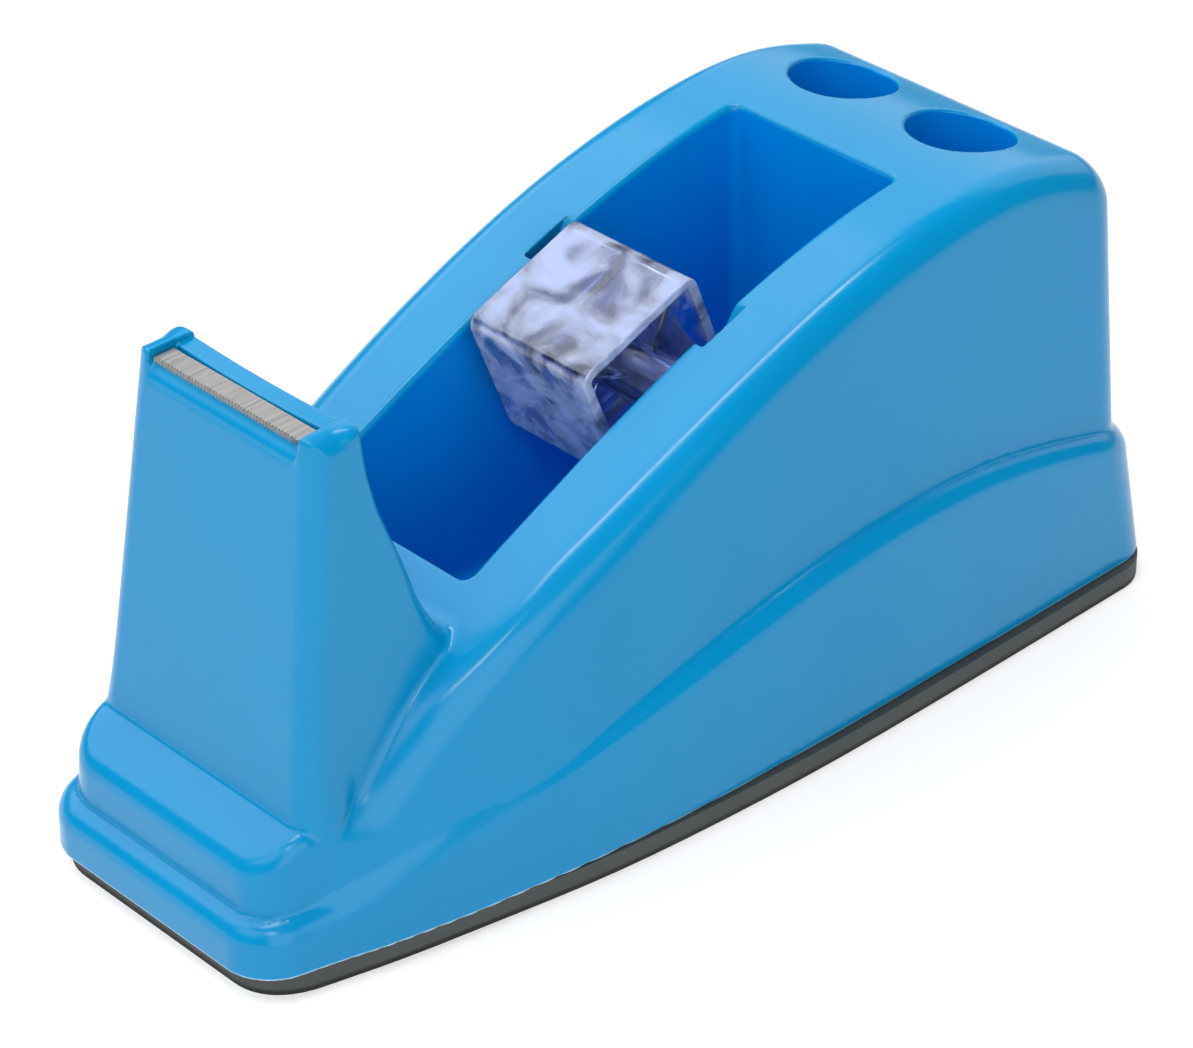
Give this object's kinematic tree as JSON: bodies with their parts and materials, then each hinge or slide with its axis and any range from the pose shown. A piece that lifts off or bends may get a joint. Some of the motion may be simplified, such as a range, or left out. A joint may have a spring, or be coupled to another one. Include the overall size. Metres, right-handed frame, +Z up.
{
  "type": "desk tape dispenser",
  "caption": "Desk tape dispenser: moulded body with toothed cutter on a front tower, clear square hub in an open tape well, pen holes in the rear deck, anti-slip pad.",
  "frame": {"origin": "centre of the footprint's bounding box, on the surface the dispenser stands on", "axes": "+Z up; -Y towards the cutter, where the tape is pulled off; +X across the well, to the right of someone who faces the cutter"},
  "size_m": [0.0654, 0.1404, 0.0658],
  "materials": {
    "body_plastic": "smooth injection-moulded, semi-gloss sky blue",
    "cutter_steel": "thin rolled strip with stamped teeth",
    "hub_clear": "clear moulded polystyrene",
    "ballast_steel": "rough block, never seen",
    "plate_plastic": "plain moulded plate",
    "screw_steel": "zinc plated",
    "pad_foam": "dark grey sheet rubber"
  },
  "bodies": {
    "dispenser": {"body_shell": "body_plastic", "cutter_blade": "cutter_steel", "ballast_block": "ballast_steel", "bottom_plate": "plate_plastic", "bottom_screws": "screw_steel", "antislip_pad": "pad_foam"},
    "pin": {"hub_pin": "hub_clear"},
    "hub": {"hub_drum": "hub_clear"}
  },
  "joints": [
    {"name": "pin_lift", "type": "slide", "parent": "dispenser", "child": "pin", "axis": [0, 0.5764, 0.8171], "range_m": [0, 0.035]},
    {"name": "hub_spin", "type": "hinge", "parent": "pin", "child": "hub", "pos_m": [0, 0.00195, 0.047], "axis": [1, 0, 0], "continuous": true}
  ]
}
